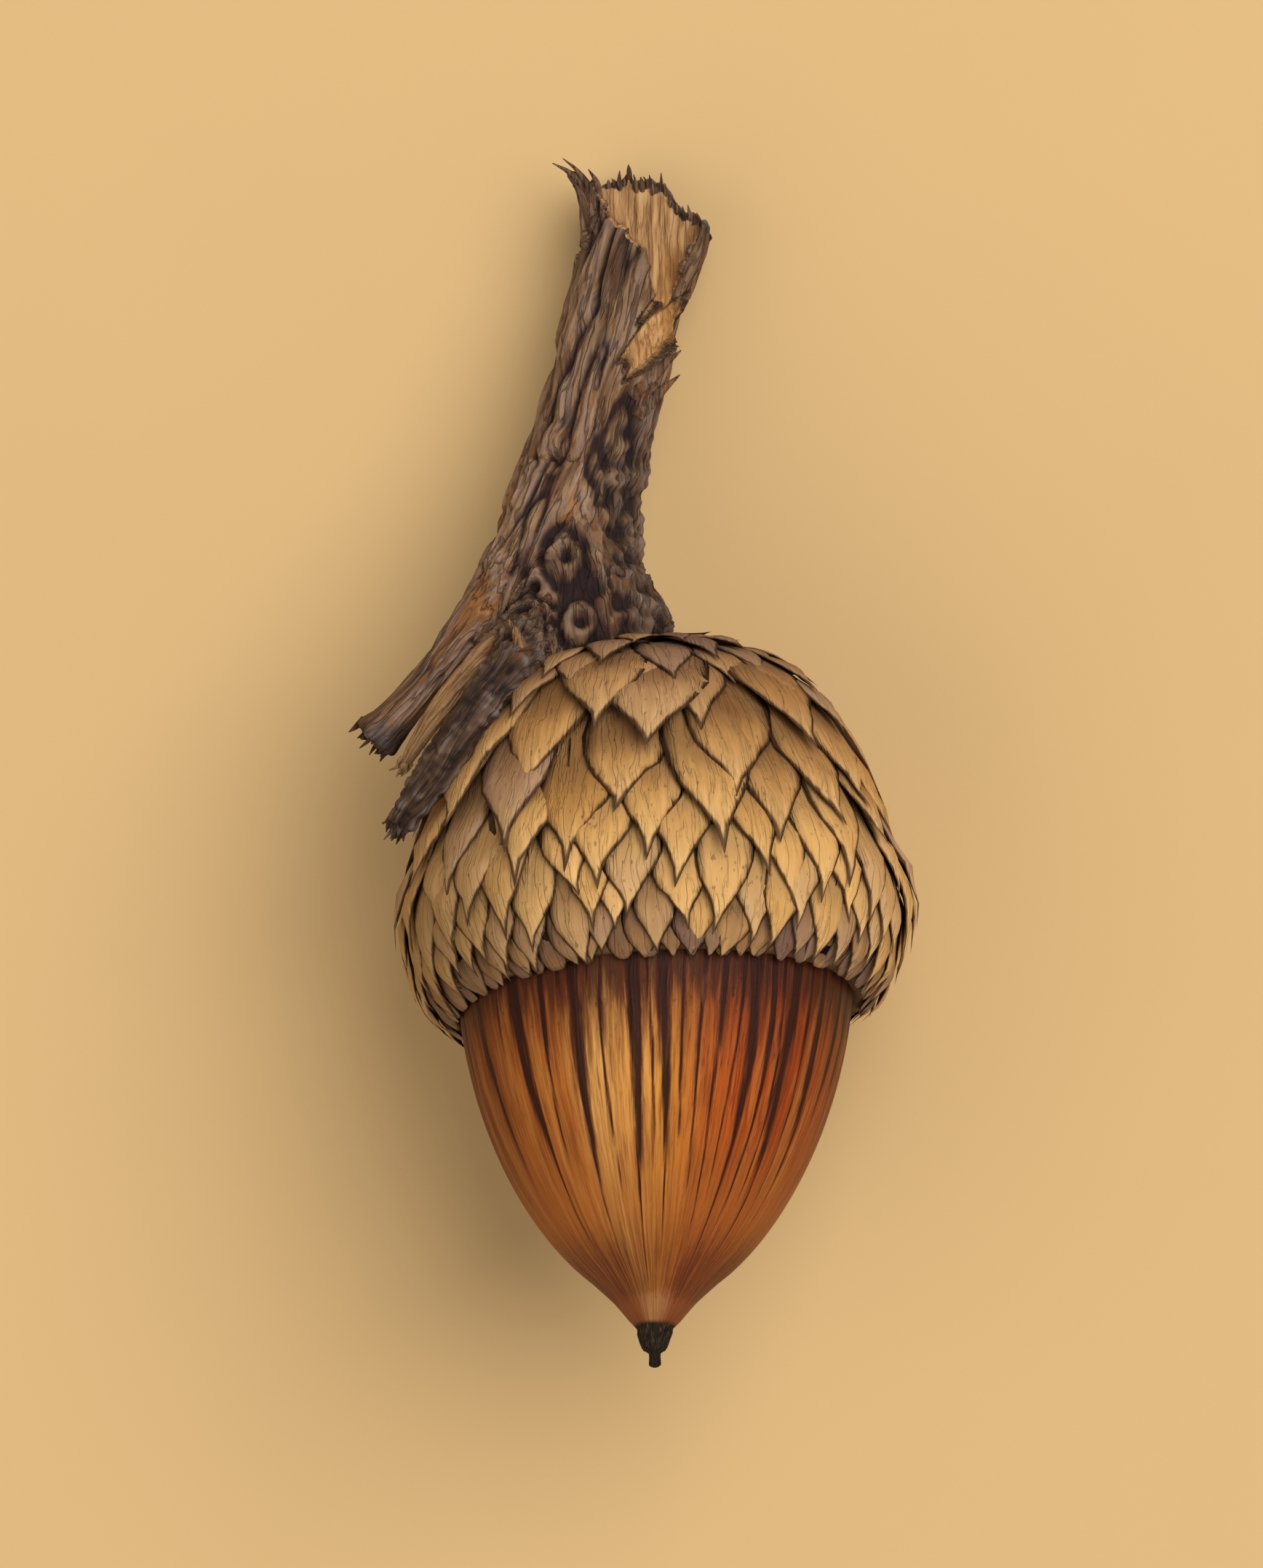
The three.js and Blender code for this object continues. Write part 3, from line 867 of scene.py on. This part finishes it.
twig = {
    # places are measured from a point on the table, this far from under the cup's middle
    "origin": [-0.115, -0.963],
    # [right, along, up, radius]
    "trunk": [
        [-2.9, 10.2, 9.2, 3.9], [-3.3, 12.6, 8.8, 4.05], [-3.6, 15, 8.0, 3.6], [-3.67, 17, 7.2, 3.1],
        [-3.34, 19.1, 6.5, 2.8], [-2.7, 21.3, 5.8, 2.55], [-2.29, 23.15, 5.2, 2.45], [-1.5, 26, 4.3, 2.5],
        [-0.8, 28.8, 3.6, 2.5], [-0.12, 30.7, 3.1, 2.65], [0.08, 32.6, 3.0, 2.62], [0.15, 34.2, 2.95, 2.6],
    ],
    "branches": {
        "foot": [
            [-2.4, 17.4, 8.0, 0.8], [-1.5, 15.9, 8.3, 0.95], [-0.6, 14.6, 8.6, 1.1], [0.0, 13.3, 8.7, 1.1],
        ],
        "spur": [
            [-3.9, 19.4, 7.4, 1.9], [-4.9, 17.4, 8.5, 1.85], [-6.05, 15.7, 9.5, 1.5],
            [-7.2, 14.4, 10.1, 1.1], [-8.5, 12.95, 10.5, 0.8], [-10.3, 10.6, 10.7, 0.78],
            [-11.3, 9.5, 10.6, 0.9], [-11.95, 8.85, 10.5, 1.12],
        ],
        "burntSpur": [
            [-4.0, 14.2, 10.2, 1.7], [-5.4, 12.6, 12.3, 1.25], [-7.0, 10.8, 13.6, 1.0],
            [-8.5, 8.6, 14.2, 0.95], [-9.8, 6.7, 13.9, 0.82], [-10.9, 5.2, 13.3, 0.62],
        ],
        "strip": [
            [-5.6, 13.6, 10.6, 0.7], [-7.5, 12.2, 11.7, 0.55], [-9.3, 9.9, 12.3, 0.5],
            [-10.7, 7.7, 12.2, 0.3],
        ],
        "splinter": [
            [-2.2, 29.6, 3.6, 0.75], [-2.5, 31.4, 3.7, 0.62], [-2.95, 32.7, 3.9, 0.42],
            [-3.7, 33.4, 4.2, 0.2],
        ],
    },
    "sides": 28,  # of the tubes that the skin is drawn round, with a ring at every fourth sample
    "every": 4,
    "voxels": [0.14, 0.096],  # of the rough and of the final skin
    "smoothing": [10, 3],
    # the front edge of the torn bark, from the trunk to the end: [right, along]
    "tornEdge": [
        [0.6, 27.0], [0.0, 28.0], [-0.28, 29.2], [-0.42, 29.95], [-0.98, 30.5], [-1.45, 31.1],
        [-2.0, 31.4], [-2.23, 32.1], [-2.57, 33.1],
    ],
    "tornSlope": [5.0, 29.0, -0.86],  # the torn face's height here, along here, and its slope
    "backEdge": [
        [-3.6, 33.1], [-1.92, 32.9], [-1.15, 33.0], [-0.98, 33.5], [-0.8, 32.85], [-0.1, 33.0],
        [0.12, 32.65], [0.4, 32.9], [0.96, 31.95], [1.3, 31.45], [1.9, 31.45], [2.45, 30.9],
        [2.7, 30.3], [3.2, 29.9],
    ],
    # round scars of fallen side twigs: [right, along, size]
    "scars": [[-3.79, 16.74, 1.2], [-3.12, 13.9, 1.1], [-1.55, 20.1, 0.55]],
    # pits and swellings: [right, along, radius, height]
    "dents": [
        [-2.35, 15.5, 0.5, -0.35], [-5.1, 15.5, 0.24, -0.6], [-5.45, 14.3, 0.45, -0.5],
        [-3.45, 18.95, 0.85, 0.35], [-1.3, 17.6, 0.4, -0.3], [-1.2, 22.1, 0.4, -0.25],
        [-1.0, 18.9, 0.3, -0.3], [-2.15, 12.9, 0.5, -0.4], [-1.4, 14.6, 0.4, -0.3],
        [-0.85, 21.0, 0.35, -0.25], [-4.6, 12.7, 0.5, 0.3], [-2.0, 19.0, 0.3, -0.25],
    ],
    "pocket": {"middle": [0.0, 26.1], "way": [-0.62, -0.78], "length": 2.1, "width": 0.8, "depth": 0.3},
    "furrows": [0.36, 0.13],  # depth of the bark's long furrows and of its fine ones
    "knots": 0.42,  # height of the knobbly bark near the cup
    "bump": 0.09,
    # thin fibres and flaps that stand free, as paths of [right, along, up, radius]
    "barkSlivers": [
        [[-0.9, 23.6, 6.9, 0.34], [0.3, 24.85, 6.3, 0.26], [1.25, 25.65, 5.8, 0.03]],
        [[-0.7, 22.7, 7.0, 0.32], [0.35, 23.85, 6.2, 0.22], [1.2, 24.6, 5.7, 0.03]],
        [[-2.35, 31.0, 3.9, 0.3], [-2.8, 32.5, 4.1, 0.24], [-3.5, 33.3, 4.3, 0.13],
         [-4.3, 33.75, 4.5, 0.02]],
        [[-2.5, 31.2, 4.1, 0.24], [-2.7, 32.6, 4.3, 0.18], [-3.2, 33.4, 4.4, 0.1],
         [-3.85, 33.95, 4.5, 0.02]],
        [[-2.3, 31.6, 3.9, 0.2], [-2.35, 32.8, 4.0, 0.15], [-2.75, 33.5, 4.1, 0.02]],
    ],
    "bareSlivers": [[[-5.45, 12.3, 13.2, 0.3], [-5.75, 13.2, 13.5, 0.24], [-6.15, 14.0, 13.4, 0.04]]],
    "teeth": 18,  # small spikes along the torn end's back edge
    # at the broken ends: [how many fibres, how long, how bare, how dark]
    "frays": {
        "spur": [16, 0.75, 0.0, 0.8],
        "burntSpur": [18, 0.9, 0.0, 0.8],
        "strip": [8, 0.7, 0.56, 0.35],
    },
    "fraySeed": 5,
}
twigOrigin = np.array([*(np.array(nutPlace.translation)[:2] + twig["origin"]), 0])
tornX, tornY = np.array(twig["tornEdge"]).T
backX, backY = np.array(twig["backEdge"]).T


def makeBranch(path, count=160):
    # samples along a path, each with its way forward and two directions square to it
    line = splinePoints(path, count)
    centres, radii = line[:, :3], line[:, 3]
    ways = np.gradient(centres, axis=0)
    ways /= np.linalg.norm(ways, axis=1)[:, None]
    across = np.empty_like(ways)
    side = np.array([0.0, 0.0, 1.0])
    for i, way in enumerate(ways):
        side = side - way * side.dot(way)
        side /= np.linalg.norm(side)
        across[i] = side
    step = np.linalg.norm(centres[1] - centres[0])
    return {"centres": centres, "radii": radii, "ways": ways, "across": across,
            "aside": np.cross(ways, across), "step": step}


def mergeTubes(branches, sides, every):
    # closed tubes with flat ends, all in one list of points and one of faces
    turns = np.arange(sides) / sides * math.tau
    points, faces = [], []
    for branch in branches:
        start, last = len(points), len(branch["radii"]) - 1
        rings = [*range(0, last + 1, every), last]
        points.append(branch["centres"][0])
        for i in rings:
            circle = np.outer(np.cos(turns), branch["across"][i])
            circle += np.outer(np.sin(turns), branch["aside"][i])
            points += list(branch["centres"][i] + circle * branch["radii"][i])
        points.append(branch["centres"][-1])
        skin = tubeFaces(len(rings), sides, flipped=True)
        faces += [tuple(corner + start for corner in face) for face in skin]
    return points, faces


def branchPlaces(points, branch):
    # for every point: its distance in radii, and how far across, aside and along the branch it is
    best = np.full(len(points), np.inf)
    nearest = np.zeros(len(points), dtype=int)
    for i, (centre, radius) in enumerate(zip(branch["centres"], branch["radii"])):
        offset = points - centre
        share = (offset * offset).sum(axis=1) / radius ** 2
        closer = share < best
        best[closer] = share[closer]
        nearest[closer] = i
    offset = points - branch["centres"][nearest]
    radii = branch["radii"][nearest]
    across, aside, forward = (
        (offset * branch[name][nearest]).sum(axis=1) for name in ("across", "aside", "ways"))
    return np.sqrt(best), columns(across / radii, aside / radii, forward + nearest * branch["step"]), radii


def joinGrain(place, branch, trunk):
    # a side branch takes up the trunk's measure where it starts, and runs with or against it
    nearest = np.linalg.norm(trunk["centres"] - branch["centres"][0], axis=1).argmin()
    sign = 1 if branch["ways"][0] @ trunk["ways"][nearest] > 0 else -1
    place[:, 1] *= sign
    place[:, 2] = nearest * trunk["step"] + sign * place[:, 2]


def getEdges(piece):
    return readRows(piece.data.edges, "vertices", 2, np.int32).T


def smoothPiece(piece, rounds):
    # every point moves halfway to the middle of its neighbours
    start, end = getEdges(piece)
    points = getPoints(piece)
    count = len(points)
    neighbours = np.bincount(np.concatenate([start, end]), minlength=count)[:, None]
    for _ in range(rounds):
        total = columns(*[np.bincount(start, line[end], count) + np.bincount(end, line[start], count)
                          for line in points.T])
        points += 0.5 * (total / np.maximum(neighbours, 1) - points)
    setPoints(piece, points)


def dropCrumbs(piece):
    # keeps only the biggest connected part
    start, end = getEdges(piece)
    labels, before = np.arange(len(piece.data.vertices)), None
    while not np.array_equal(labels, before):
        before = labels.copy()
        lowest = np.minimum(labels[start], labels[end])
        np.minimum.at(labels, start, lowest)
        np.minimum.at(labels, end, lowest)
        labels = labels[labels]
    loose = np.flatnonzero(labels != np.bincount(labels).argmax())
    mesh = bmesh.new()
    mesh.from_mesh(piece.data)
    mesh.verts.ensure_lookup_table()
    bmesh.ops.delete(mesh, geom=[mesh.verts[i] for i in loose], context="VERTS")
    mesh.to_mesh(piece.data)
    mesh.free()


def tornPlaces(x, y):
    # the torn face's height at each place, and how far inside the torn bark's edge the place is
    ragged = 0.14 * noiseAt(columns(x * 3.2, y * 0.9, 0))
    inside = x - np.interp(y, tornY, tornX) + ragged
    height, start, slope = twig["tornSlope"]
    floor = height + slope * (y - start) - 0.55 * bell(x, 0.75, 0.5) * smoothStep(30.6, 29.2, y)
    trunkRight = np.interp(y, [26.5, 27.5, 29, 30.8], [1.1, 1.3, 1.75, 2.5])
    lip = smoothStep(0.62, 0.3, trunkRight - x + ragged * 0.7) * smoothStep(31.4, 30.9, y)
    fibres = 0.09 * noiseAt(columns(x * 4.5, y * 0.5, 0), 1.0, 3)
    wall = smoothStep(0.22, -0.04, inside)
    return floor + fibres + 4 * np.maximum(wall, lip), inside


def shapeTorn(points):
    # the end is broken off ragged, then scooped out from the front
    x, y, z = points.T
    teeth = 0.34 * np.abs(noiseAt(columns(x * 5.5, z * 1.1, 0), 1.0, 9)) - 0.08
    y = np.where(x > -2.75, np.minimum(y, np.interp(x, backX, backY) + teeth), y)
    height = tornPlaces(x, y)[0]
    return columns(x, y, np.where((y > 26.5) & (z > height), height, z))


def scarHeight(points):
    x, y = points[:, 0], points[:, 1]
    height, dark = np.zeros(len(points)), np.zeros(len(points))
    for middleX, middleY, size in twig["scars"]:
        away = np.hypot(x - middleX, y - middleY) / size + 0.09 * noiseAt(points, 1.3, 31)
        halo = np.hypot((x - middleX) / 1.1, (y - middleY) / 1.5) / size
        pit = bell(away, 0, 0.2)
        height += size * (0.2 * bell(away, 0.48, 0.2) - 0.28 * pit
                          - 0.24 * bell(halo, 0.72, 0.2) * smoothStep(0.5, 0.8, away))
        ring = 0.6 * bell(halo, 0.7, 0.17) * smoothStep(0.45, 0.8, away)
        dark = np.maximum.reduce([dark, ring, 0.52 * smoothStep(0.9, 0.6, away), pit])
    for middleX, middleY, size, lift in twig["dents"]:
        near = bell(np.hypot(x - middleX, y - middleY), 0, size)
        height += lift * near
        # sunken dents are darkened: painted shade in the pits
        dark = np.maximum(dark, near * (0.7 if lift < 0 else 0))
    return height, np.clip(dark * (0.85 + 0.7 * noiseAt(points, 1.6, 51)), 0, 1)


def pocketShare(points):
    pocket = twig["pocket"]
    way = np.array(pocket["way"])
    offset = points[:, :2] - pocket["middle"]
    along, aside = offset @ way, offset @ np.array([-way[1], way[0]])
    ragged = 0.4 * noiseAt(columns(aside * 3.4, along * 0.4, 0), 1.0, 5)
    # it narrows to single fibres at its lower end
    width = pocket["width"] * (1 - 0.3 * along / pocket["length"])
    return smoothStep(1.15, 0.75, np.hypot(along / pocket["length"], aside / width) + ragged)


def makeTwigMaterial():
    material, tree, shader = newMaterial("twigBark", specular=0.25)
    relief, bare, dark, amber = (readAttribute(tree, name) for name in ("relief", "bare", "dark", "amber"))
    fibre = readAttribute(tree, "fibre", "Vector")
    streaks, cracks, _ = addGrain(fibre, 5.0, 0.1, 0.3)
    broadStreaks, _, _ = addGrain(fibre, 1.4, 0.09, 0.5)
    depth = plus(relief, times(streaks, -0.12))
    # bark: nearly black in the furrows, which is painted shade, brown and grey on the ridges, paler on the
    # highest as a painted highlight, ochre where it has worn through
    bark = ramp(
        broadStreaks, [0.0, 90, 60, 42], [0.28, 120, 88, 62], [0.48, 150, 120, 88], [0.64, 144, 122, 112],
        [0.82, 132, 94, 60], [1.0, 150, 102, 56],
    )
    bark = paint(
        bark,
        [times(streaks, 0.45), 66, 48, 42],
        [remap(depth, 0.64, 0.16, 0.0, 0.94), 38, 24, 30],
        [remap(depth, 0.72, 0.98, 0.0, 0.24), 178, 154, 132],
        [times(cracks, 0.5), 38, 28, 30],
        # the dark mask darkens the bark, most in its hollows, where it is painted shade; charred wood gets
        # a blue-grey painted highlight on its ridges
        [times(dark, remap(relief, 0.95, 0.55, 0.6, 0.94)), 30, 23, 25],
        [times(remap(dark, 0.5, 0.75), remap(depth, 0.62, 0.85, 0.0, 0.7)), 112, 108, 112],
    )
    # bare wood: pale and fibrous, amber in its hollows
    wood = paint(
        ramp(streaks, [0.0, 212, 176, 128], [0.5, 190, 150, 104], [1.0, 136, 98, 64]),
        [remap(broadStreaks, 0.35, 0.9, 0.0, 0.35), 136, 98, 68],
        [times(amber, 0.6), 160, 110, 52],
        [times(cracks, 0.35), 104, 68, 42],
        # the dark mask, which holds painted shade as well as scars and burnt wood, darkens the bare wood
        # too
        [times(dark, 0.6), 86, 62, 46],
    )
    share = remap(plus(bare, times(minus(streaks, 0.5), 0.35)), 0.4, 0.62)
    height = times(minus(times(streaks, -0.8), cracks), remap(bare, 0.3, 0.8, 1.0, 0.4))
    rough = remap(streaks, 0.0, 1.0, 0.7, 0.95)
    finishMaterial(shader, mixColour(share, bark, wood), rough, height, twig["bump"])
    return material


def makeTwig():
    trunk = makeBranch(twig["trunk"])
    branches = {"trunk": trunk, **{name: makeBranch(path) for name, path in twig["branches"].items()}}
    piece = addPiece("twig_bark", *mergeTubes(branches.values(), twig["sides"], twig["every"]))
    for size, rounds, shape in zip(twig["voxels"], twig["smoothing"], (shapeTorn, None)):
        skin = piece.modifiers.new("skin", "REMESH")
        skin.mode = "VOXEL"
        skin.voxel_size = size
        skin.use_smooth_shade = True
        bakePiece(piece)
        smoothPiece(piece, rounds)
        if shape:
            setPoints(piece, shape(getPoints(piece)))
    dropCrumbs(piece)
    points = getPoints(piece)
    normals = readRows(piece.data.vertex_normals, "vector", 3).astype(float)
    x, y, z = points.T.copy()

    # grain follows the nearest branches, and flows from one into the next
    places = {name: branchPlaces(points, branch) for name, branch in branches.items()}
    for name in twig["branches"]:
        joinGrain(places[name][1], branches[name], trunk)
    nearest = np.min([share for share, _, _ in places.values()], axis=0)
    weights = {name: np.exp(-9 * (share - nearest)) for name, (share, _, _) in places.items()}
    total = sum(weights.values())
    weights = {name: weight / total for name, weight in weights.items()}
    onTrunk, onBurnt, onFoot = (weights[name] for name in ("trunk", "burntSpur", "foot"))
    fibre = sum(weights[name][:, None] * place for name, (_, place, _) in places.items())
    radii = sum(weights[name] * radius for name, (_, _, radius) in places.items())
    fibre[:, :2] *= np.maximum(radii, 1.1)[:, None] * 0.9
    rightward = places["trunk"][1][:, 1] * np.sign(trunk["aside"][80][0])

    # bare wood: the torn face and end, the pocket, and the strip
    height, inside = tornPlaces(x, y)
    front = normals[:, 2] > -0.2
    torn = smoothStep(0.02, 0.14, inside) * (z > height - 0.16) * (y > 27.4) * (x > -2.5)
    endFace = (normals[:, 1] > 0.55) & (y > 30.2)
    pocket = pocketShare(points) * front
    bare = np.clip(np.maximum.reduce([torn, 0.75 * endFace, pocket]), 0, 1)
    fromBack = np.interp(x, backX, backY) - y
    brink = smoothStep(0.34, 0.16, fromBack + 0.25 * noiseAt(points, 2.5, 41)) * (y > 30)
    bare = np.maximum(bare * (1 - brink), 0.56 * weights["strip"])
    across, aside, along = fibre.T
    turned = columns(across, aside * 0.88 + along * 0.48, along * 0.88 - aside * 0.48)
    for share, other in ((pocket, turned), (torn, columns(x, 0, y))):
        fibre = fibre * (1 - share)[:, None] + other * share[:, None]

    # long winding furrows, fine ones between them, and knobs towards the cup
    slow = fibre * [1, 1, 0.13]
    slow[:, 0] += 0.35 * noiseAt(fibre, [0.3, 0.3, 0.5], 11)
    long = np.clip(np.abs(noiseAt(slow, 1.15)) * 4.2, 0, 1)
    fineLines = np.clip(np.abs(noiseAt(slow, 2.9, 7)) * 2.6, 0, 1)
    knobs = noiseAt(points, 1.0, 17) + 0.6 * noiseAt(points, 2.2, 23)
    knotty = smoothStep(24, 18.5, y) * smoothStep(-0.35, 0.35, rightward) * onTrunk
    knotty = np.maximum.reduce([knotty, 0.75 * onBurnt, 0.8 * onFoot])
    scars, scarDark = scarHeight(points)
    scarred = front * smoothStep(0.2, 0.6, onTrunk + onFoot)
    thin = np.clip(radii / 2.2, 0.45, 1)
    calm = 1 - 0.82 * np.maximum(bare, torn)
    scarFree = 1 - np.clip(np.abs(scars) * 2.2, 0, 1) * scarred
    furrowDepth, fineDepth = twig["furrows"]
    furrows = furrowDepth * (long - 0.6) * (1 - 0.55 * knotty) + fineDepth * (fineLines - 0.6)
    relief = furrows * thin * calm * scarFree
    relief += twig["knots"] * knotty * knobs * thin * (1 - bare) * scarFree
    blocks = np.clip(np.abs(noiseAt(fibre * [0.9, 0.9, 1.9], 1.0, 37)) * 3, 0, 1)
    relief += 0.22 * (blocks - 0.8) * onBurnt * thin
    shade = relief + 0.85 * scars * scarred
    relief += scars * scarred - twig["pocket"]["depth"] * pocket
    points += normals * relief[:, None]
    points[:, 2] = np.maximum(points[:, 2], 0.03)
    setPoints(piece, (points + twigOrigin) * mm)
    x, y, z = points.T

    # dark: scars, broken ends, darker bark towards the torn end, painted shade on the shaded side and in
    # sunken dents, the burnt spur and the torn edges
    ends = smoothStep(9.9, 9.0, y) * weights["spur"] + smoothStep(6.4, 4.8, y) * onBurnt
    # painted shade down the twig's right side, towards the cup
    side = smoothStep(0.25, 0.75, rightward) * smoothStep(25.5, 23, y) * (onTrunk + onFoot)
    lip = bell(inside, -0.02, 0.13) * (y > 27.2) * (z > height - 0.3)
    # darker bark towards the torn end
    endDarkening = 0.3 * smoothStep(26, 31, y) * onTrunk
    dark = np.maximum.reduce([scarDark * scarred, ends, endDarkening, 0.6 * side, 0.7 * onBurnt, 0.8 * brink,
                              0.7 * np.clip(lip, 0, 1)])
    hollow = bell(x, 0.75, 0.55) * smoothStep(31, 29.5, y)
    setAttributes(piece, fibre=fibre, relief=np.clip(0.62 + shade * 1.9, 0, 1), bare=bare,
                  dark=np.clip(dark, 0, 1), amber=np.clip(np.maximum(hollow, pocket * 0.5), 0, 1))
    material = makeTwigMaterial()
    piece.data.materials.append(material)
    smoothShade(piece)
    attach(piece, "root")
    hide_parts("twig")
    print("twig made:", len(piece.data.polygons), "faces")
    makeSlivers(branches, material)


def frayPaths(branch, count, length, uniform):
    # short fibres that carry on past a branch's broken end
    end, radius, way, across, aside = (
        branch[name][-1] for name in ("centres", "radii", "ways", "across", "aside"))
    paths = []
    for i in range(count):
        turn = math.tau * i / count + uniform(-0.2, 0.2)
        out = across * math.cos(turn) + aside * math.sin(turn)
        root = end + out * radius * uniform(0.35, 0.88) - way * 0.35
        reach = length * uniform(0.55, 1.15)
        middle = root + way * reach * 0.6 + out * uniform(-0.05, 0.06)
        tip = root + way * reach * 1.1 + out * uniform(-0.1, 0.25)
        thick = uniform(0.1, 0.2)
        paths.append([[*root, thick], [*middle, thick * 0.75], [*tip, 0.02]])
    return paths


def toothPaths(uniform):
    paths = []
    for x in np.linspace(-1.9, 2.35, twig["teeth"]) + uniform(-0.08, 0.08, twig["teeth"]):
        y = float(np.interp(x, backX, backY))
        height = float(tornPlaces(np.array([x]), np.array([y - 0.5]))[0][0])
        z = min(max(height, 0.8), 3.2) - uniform(0.1, 0.5)
        reach, thick = uniform(0.15, 0.55), uniform(0.08, 0.15)
        tip = [x - uniform(0, 0.16), y + reach, z + 0.15, 0.02]
        paths.append([[x, y - 0.45, z, thick], [x - 0.02, y, z + 0.05, thick * 0.8], tip])
    return paths


def makeSlivers(branches, material):
    # each group of paths with how bare and how dark it is
    uniform = np.random.default_rng(twig["fraySeed"]).uniform
    groups = [
        [twig["barkSlivers"], 0.0, 0.25],
        [twig["bareSlivers"], 0.5, 0.4],
        [toothPaths(uniform), 0.0, 0.35],
    ]
    for name, (count, length, bare, dark) in twig["frays"].items():
        groups.append([frayPaths(branches[name], count, length, uniform), bare, dark])
    steps, sides = 13, 7
    paths = [makeBranch(path, steps) for group, _, _ in groups for path in group]
    points, faces = mergeTubes(paths, sides, 1)
    each = len(points) // len(paths)
    bare, dark = np.repeat([[bare, dark] for group, bare, dark in groups for _ in group], each, axis=0).T
    points = np.array(points)
    piece = addPiece("twig_slivers", (points + twigOrigin) * mm, faces, material)
    setAttributes(piece, fibre=points * [1.6, 0.25, 1.6], relief=0.62 + 0.3 * noiseAt(points, 2.0),
                  bare=bare, dark=dark, amber=0 * bare)
    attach(piece, "root")
    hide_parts("twig")
    print("twig slivers made:", len(faces), "faces")


makeTwig()
